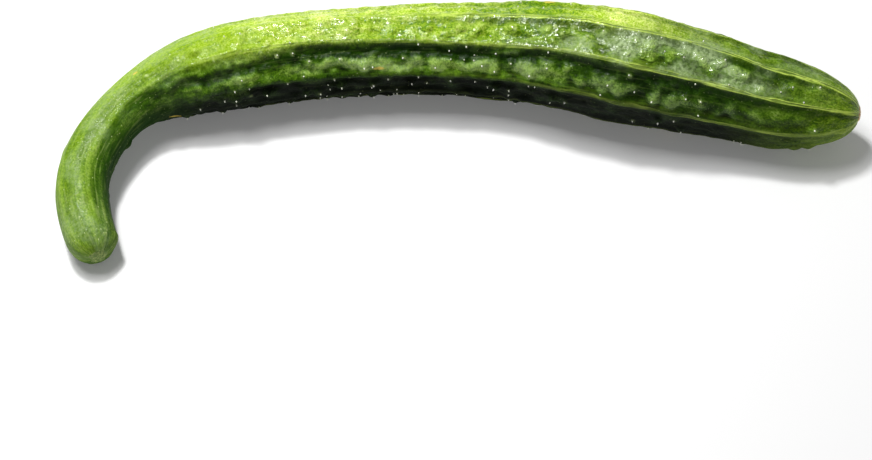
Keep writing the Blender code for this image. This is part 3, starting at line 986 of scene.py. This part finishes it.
# A band below each rib, on its lower side, painted dark as shade.
below_rib_shade = n.times(n.ramp(off_rib, 0.8, 1.4), n.ramp(off_rib, 2.2, 4.4, 1.0, 0.0), inner_share, rib_share)
base = n.mix(n.times(below_rib_shade, 0.5), base, SHADE[0][1])
uneven = n.ramp(n.noise(at, 3.6, stretch=2.5, shift=22.0), 0.35, 0.6, 0.55, 0.9)
# The hollows, painted dark as shade.
base = n.mix(n.times(n.stored("hollow"), uneven, n.fade(underside_shade_share, 1.0, 0.2)), base, HOLLOW_PAINTED_SHADE)
# The warts' pale tips: partly their own paler apex, partly painted glints.
base = n.mix(n.times(n.stored("tip"), n.fade(underside_shade_share, 0.85, 0.2)), base, PALE_TIP_AND_GLINT)

strands = n.ramp(n.noise(at, 1.1, stretch=16.0, shift=25.0), 0.4, 0.58, 0.15, 1.0)
above_rib = n.times(n.ramp(off_rib, 1.4, 4.4, 1.0, 0.0), n.math("SUBTRACT", 1.0, inner_share), strands)
above_rib = n.times(above_rib, n.stored("rib_fringe"), n.fade(underside_shade_share, 1.0, 0.0))
base = n.mix(above_rib, base, FRINGE)

torn = n.ramp(n.noise(at, 0.8, detail=3.0, stretch=16.0, shift=9.0), 0.36, 0.58, 0.3, 1.0)
broken = n.ramp(n.noise(at, 6.0, stretch=2.5, shift=27.0), 0.4, 0.6, 0.3, 1.0)
whole = n.math("MAXIMUM", broken, n.ramp(rib_share, 0.3, 0.6))
line = n.times(n.ramp(off_rib, 0.5, 1.0, 1.0, 0.0), torn, rib_share, whole)
base = n.mix(line, base, n.mix(n.ramp(pale_and_lit_share, 0.1, 0.8), RIB_IN_SHADE, RIB_IN_SUN))
slit_breaks = n.ramp(n.noise(at, 3.0, stretch=7.0, shift=5.0), 0.3, 0.5)
slit = n.times(n.ramp(off_rib, 0.2, 0.5, 1.0, 0.0), slit_breaks, rib_share)
base = n.mix(n.times(slit, 0.8), base, RIB_SLIT)
print("nodes with the rib lines:", len(n.tree.nodes))

# %% [markdown]
# ## Streaks, speckles, bloom with painted sheen, and healed marks
#
# Fine pale streaks run along the skin and small pale speckles lie on it, most of both on the neck. The
# bloom and sheen is a greyish frost of fine crumbs in soft patches: partly the fruit's waxy bloom, partly a
# painted sheen on the wet valley past the middle and a painted sparkle on the high places of the shade.
# The underside has less of all three. The healed marks come last, each with a ragged edge.

# %% Streaks, speckles, bloom with painted sheen, and healed marks
STREAK = srgb(178, 200, 110)
SPECKLE = srgb(206, 222, 150)
BLOOM_AND_SHEEN = srgb(166, 188, 134)
HEALED = srgb(226, 196, 84)

less_below = n.fade(underside_shade_share, 1.0, 0.3)
streaks = n.ramp(n.noise(at, 0.9, stretch=14.0, shift=1.0), 0.52, 0.7)
base = n.mix(n.times(streaks, n.fade(neck_share, 0.06, 0.3), less_below), base, STREAK)
speckles = n.times(n.dots(at, 1.1, 0.24, 0.5, stretch=1.5), n.ramp(n.noise(at, 6.0, shift=11.0), 0.4, 0.6))
speckled = n.sum(n.fade(neck_share, 0.2, 0.7), n.ramp(along, 3.0, 16.0, 0.3, 0.0))
base = n.mix(n.times(speckles, speckled, less_below), base, SPECKLE)
# Bloom and sheen: waxy bloom, with a painted sheen and a painted sparkle in it.
frost_and_sheen = n.ramp(n.noise(at, 10.0, stretch=1.6, shift=7.0), 0.38, 0.62)
crumbs = n.ramp(n.noise(at, 1.3, detail=3.0, roughness=0.6, shift=29.0), 0.38, 0.62, 0.35, 1.0)
frost_and_sheen = n.times(frost_and_sheen, n.stored("bloom"), crumbs, n.ramp(underside_shade_share, 0.0, 0.6, 1.0, 0.0))
base = n.mix(frost_and_sheen, base, BLOOM_AND_SHEEN)
healed = n.ramp(n.sum(n.stored("mark"), n.noise(at, 0.9, shift=15.0)), 1.2, 1.7, 1.0, 0.0)
base = n.mix(n.times(healed, 0.7), base, HEALED)
print("nodes with the marks:", len(n.tree.nodes))

# %% [markdown]
# ## The wet film
#
# The film of water is the shader's coat. It lies in drops some millimetres across, on the sunny side and on
# what stands high in the shade, and less on the rib lines. Its own bump is gentler than the skin's, so that a
# wet mound gives back a small clear glint and not a haze.

# %% Wet film, roughness and fine bumps
BUMP_DEPTH = 0.0006

drops = n.ramp(n.noise(at, 5.0, stretch=1.4, shift=3.0), 0.36, 0.56)
raised = n.math("MAXIMUM", n.ramp(pale_and_lit_share, 0.0, 0.3), n.ramp(tall, 0.3, 0.6, 0.15, 1.0))
film = n.times(n.stored("wet"), drops, raised, n.fade(line, 1.0, 0.4))
beads = n.noise(at, 1.1, roughness=0.6, shift=6.0)
swells = n.noise(at, 2.8, detail=1.0, shift=8.0)
skin_bumps = n.sum(n.times(beads, n.fade(film, 0.4, 1.6)), n.times(swells, 0.9), n.times(slit, -0.5))
film_bumps = n.sum(n.times(beads, 0.5), n.times(swells, 0.6))
n.fill(n.shader, {
    "Base Color": base,
    "Roughness": n.sum(0.4, n.times(neck_share, 0.14), n.times(underside_shade_share, 0.2)),
    "Specular IOR Level": 0.08,
    "Normal": n.bump(skin_bumps, BUMP_DEPTH),
    "Coat Weight": film,
    "Coat Roughness": 0.1,
    "Coat Normal": n.bump(film_bumps, BUMP_DEPTH),
})
skin_mesh.materials.append(n.material)
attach(skin, "root")
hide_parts(NODE)
print("skin material's nodes:", len(n.tree.nodes))

# %% [markdown]
# ## Spines
#
# Most of the larger warts and some of the small ones carry one short, whitish spine, less than a millimetre
# thick. Fewer stand on the two sunny ribs. There are hundreds, so each is a cone of a few faces, sunk into
# its wart, and all of them are one piece.

# %% Build the spines
SPINE_SEED = 8
SPINE_SIDES = 6
SPINE_RADIUS = 0.4
SPINE_TIP = 0.18
SPINE_HEIGHT = 0.55
SPINE_SUNK = 0.3
SPINE_CLEARANCE = 1.5
SMALL_SPINE_SHARE = 0.3
SPINE_SHARES = (20.0, 70.0, 120.0, 320.0, LENGTH), (0.2, 0.3, 0.9, 0.9, 0.5)
SUNNY_RIBS = (0, 1)
SUNNY_SPINES = 0.35
SPINE_DULL, SPINE_BRIGHT = srgb(232, 236, 210), srgb(252, 252, 244)


def spine_spots():
    """Return the warts that carry a spine: most of the large ones, and some of the small ones."""
    draw = random.Random(SPINE_SEED)
    few = [spot for spot in small_spots if draw.random() < SMALL_SPINE_SHARE]
    chosen = []
    for where, rib, share, _ in large_spots + few:
        chance = np.interp(where, *SPINE_SHARES)
        if draw.random() < chance * (SUNNY_SPINES if rib in SUNNY_RIBS else 1.0):
            chosen.append((where, rib, share))
    return chosen


def surface_at(where, rib, share):
    """Return the skin's nearest grid point and its outward direction, in millimetres."""
    row = int(np.clip(np.argmin(np.abs(rings - where)), 1, len(rings) - 2))
    column = int(round((rib + share) * COLUMNS_PER_RIB)) % COLUMN_COUNT
    here = points[row, column]
    along = points[row + 1, column] - points[row - 1, column]
    across = points[row, (column + 1) % COLUMN_COUNT] - points[row, column - 1]
    out = np.cross(along, across)
    out /= np.linalg.norm(out)
    middle, _, _ = frame_at(np.array([rings[row]]))
    away = here - np.array([*middle[0], radius_at(rings[row])])
    return Vector(here), Vector(out if out @ away > 0.0 else -out)


def build_spines():
    """Return the mesh of all spines."""
    maker = bmesh.new()
    tall = SPINE_HEIGHT + SPINE_SUNK
    cone = {"segments": SPINE_SIDES, "radius1": SPINE_RADIUS, "radius2": SPINE_TIP, "depth": tall}
    count = 0
    for where, rib, share in spine_spots():
        foot, out = surface_at(where, rib, share)
        if foot.z < SPINE_CLEARANCE:
            continue
        turn = out.to_track_quat("Z", "Y").to_matrix().to_4x4()
        put = Matrix.Translation(foot + out * (tall / 2.0 - SPINE_SUNK)) @ turn
        bmesh.ops.create_cone(maker, cap_ends=True, matrix=put, **cone)
        count += 1
    mesh = made_mesh("cucumber_spines", maker)
    shape_mesh(mesh, settle(np.array([v.co for v in mesh.vertices]) - SOLID_SHIFT))
    print("spines:", count)
    return mesh


def spine_material():
    """Return the spines' whitish, glassy material."""
    look = Nodes("cucumber_spine")
    where = look.add("ShaderNodeTexCoord").outputs["Object"]
    spots = look.add("ShaderNodeTexNoise", {"Vector": where, "Scale": 400.0, "Detail": 2.0}).outputs["Fac"]
    look.fill(look.shader, {
        "Base Color": look.mix(look.ramp(spots, 0.3, 0.7), SPINE_DULL, SPINE_BRIGHT),
        "Roughness": look.ramp(spots, 0.2, 0.8, 0.15, 0.3),
    })
    return look.material


spines_mesh = build_spines()
spines_mesh.materials.append(spine_material())
spines = new_object("cucumber_spines", spines_mesh)
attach(spines, "root")

# %% [markdown]
# ## Scars at the two ends
#
# Where the stalk and the flower came off, a dry corky scar is left. Each is a thin, rough cushion that lies
# on the rounded end. It starts as a sphere; its points are spread over the end, and only the outer half
# stands proud. Each row of `SCARS` has the end, radius, thickness, and the dark, light and pore colours.

# %% Build the scars
SCAR_SEGMENTS = 40
SCAR_RINGS = 20
SCAR_ROUGHNESS = 0.22
SCAR_CRUMBS = ((3.1, 1.0), (7.7, 0.6))
SCAR_RAGGEDNESS = 0.25
SCAR_RAGGED_TURNS = 1.7
SCARS = (
    ("stem_scar", True, 3.4, 0.2, (srgb(96, 126, 48), srgb(156, 174, 96), srgb(84, 110, 40))),
    # The blossom scar's colours are lighter than its own tan, as painted light, since that end lies in shade.
    ("blossom_scar", False, 3.4, 1.1, (srgb(246, 204, 140), srgb(252, 240, 204), srgb(214, 160, 104))),
)


def scar_mesh(name, at_stem, radius, thickness):
    """Return a thin rough cushion on one end of the fruit."""
    mesh, ball = sphere_mesh(name, SCAR_SEGMENTS, SCAR_RINGS)
    turn = np.arctan2(ball[:, 1], ball[:, 0])
    crumbs = np.array([sum(part * noise.noise(Vector(v) * fine) for fine, part in SCAR_CRUMBS) for v in ball])
    circle = SCAR_RAGGED_TURNS * np.stack([np.cos(turn), np.sin(turn)], axis=-1)
    ragged = np.array([noise.noise(Vector((*spot, radius))) for spot in circle])
    out = np.hypot(ball[:, 0], ball[:, 1]) * radius * (1.0 + SCAR_RAGGEDNESS * ragged)
    rise = thickness * ball[:, 2] + SCAR_ROUGHNESS * crumbs * np.maximum(0.0, ball[:, 2])
    if at_stem:
        places = STEM_ROUND * (1.0 - np.sqrt(1.0 - np.minimum(1.0, out / radius_at(0.0)) ** 2))
        spots = skin_points(places, turn, out, sideways=-rise)
    else:
        share = np.minimum(1.0, out / radius_at(LENGTH))
        left = BLOSSOM_ROUND * (1.0 - (1.0 - share ** BLOSSOM_BLUNTNESS) ** (1.0 / BLOSSOM_BLUNTNESS))
        spots = skin_points(LENGTH - left, turn, out, sideways=rise)
    shape_mesh(mesh, settle(spots))
    return mesh


def scar_material(name, dark, light, pore):
    """Return a dry, corky, mottled material."""
    look = Nodes(name)
    where = look.add("ShaderNodeTexCoord").outputs["Object"]
    crumbs = look.add("ShaderNodeTexNoise", {"Vector": where, "Scale": 1100.0, "Detail": 4.0}).outputs["Fac"]
    pores = look.add("ShaderNodeTexVoronoi", {"Vector": where, "Scale": 1500.0}).outputs["Distance"]
    colour = look.mix(look.ramp(crumbs, 0.35, 0.65), dark, light)
    look.fill(look.shader, {
        "Base Color": look.mix(look.ramp(pores, 0.45, 0.75, 0.0, 0.7), colour, pore),
        "Roughness": look.ramp(crumbs, 0.2, 0.8, 0.6, 0.9),
        "Normal": look.bump(look.sum(crumbs, look.times(pores, -0.6)), 0.0003, strength=0.9),
    })
    return look.material


for name, at_stem, radius, thickness, colours in SCARS:
    mesh = scar_mesh(name, at_stem, radius, thickness)
    mesh.materials.append(scar_material(name, *colours))
    scar = new_object(name, mesh)
    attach(scar, "root")
    print(name, "radius", radius, "mm, faces:", len(mesh.polygons))

# %% [markdown]
# ## Floor, light and camera
#
# The fruit lies on a plain pale floor. A soft light stands high to the left, almost overhead, so the top is
# bright and the near side is in shade. A smaller one farther back gives the wet skin its glints, and a weak
# even light fills the rest. The camera looks down at 54 degrees.

# %% Floor
FLOOR_HALF_SIZE = 2.0
WHITE = (1.0, 1.0, 1.0, 1.0)
PALE_GREY = (0.8, 0.8, 0.8, 1.0)
FLOOR_ROUGHNESS = 0.6
FLOOR_GLOW = 0.12

floor_maker = bmesh.new()
bmesh.ops.create_grid(floor_maker, x_segments=1, y_segments=1, size=FLOOR_HALF_SIZE)
floor_mesh = made_mesh("floor", floor_maker)
floor = new_object("floor", floor_mesh)
floor_look = Nodes("floor")
floor_look.fill(floor_look.shader, {
    "Base Color": PALE_GREY,
    "Roughness": FLOOR_ROUGHNESS,
    "Emission Color": WHITE,
    "Emission Strength": FLOOR_GLOW,
})
floor_mesh.materials.append(floor_look.material)

# %% Lights, each with its place, size and power
LIGHT_TARGET = Vector((0.0, 0.02, 0.02))
LIGHTS = (
    ("key", (-0.36, 0.12, 1.05), 0.36, 5.2),
    ("glint", (-0.3, 0.36, 1.05), 0.15, 9.8),
)
FILL_STRENGTH = 0.18

for name, light_place, size, power in LIGHTS:
    lamp = bpy.data.lights.new(name, "AREA")
    lamp.shape = "RECTANGLE"
    lamp.size = lamp.size_y = size
    lamp.energy = power
    holder = new_object(name, lamp)
    holder.location = light_place
    holder.rotation_euler = (LIGHT_TARGET - Vector(light_place)).to_track_quat("-Z", "Y").to_euler()
world = bpy.data.worlds.new("studio")
world.use_nodes = True
fill = world.node_tree.nodes["Background"]
fill.inputs["Color"].default_value = WHITE
fill.inputs["Strength"].default_value = FILL_STRENGTH
bpy.context.scene.world = world
bpy.context.scene.view_settings.view_transform = "Standard"

# %% Camera
CAMERA_ELEVATION = math.radians(54.0)
CAMERA_DISTANCE = 0.774
CAMERA_TARGET = Vector((-0.0097, -0.0358, 0.0))
CAMERA_LENS = 85.0
CAMERA_SENSOR = 36.0

camera = bpy.data.cameras.new("camera")
camera.lens = CAMERA_LENS
camera.sensor_width = CAMERA_SENSOR
holder = new_object("camera", camera)
back = Vector((0.0, -math.cos(CAMERA_ELEVATION), math.sin(CAMERA_ELEVATION)))
holder.location = CAMERA_TARGET + CAMERA_DISTANCE * back
holder.rotation_euler = (math.pi / 2.0 - CAMERA_ELEVATION, 0.0, 0.0)
bpy.context.scene.camera = holder
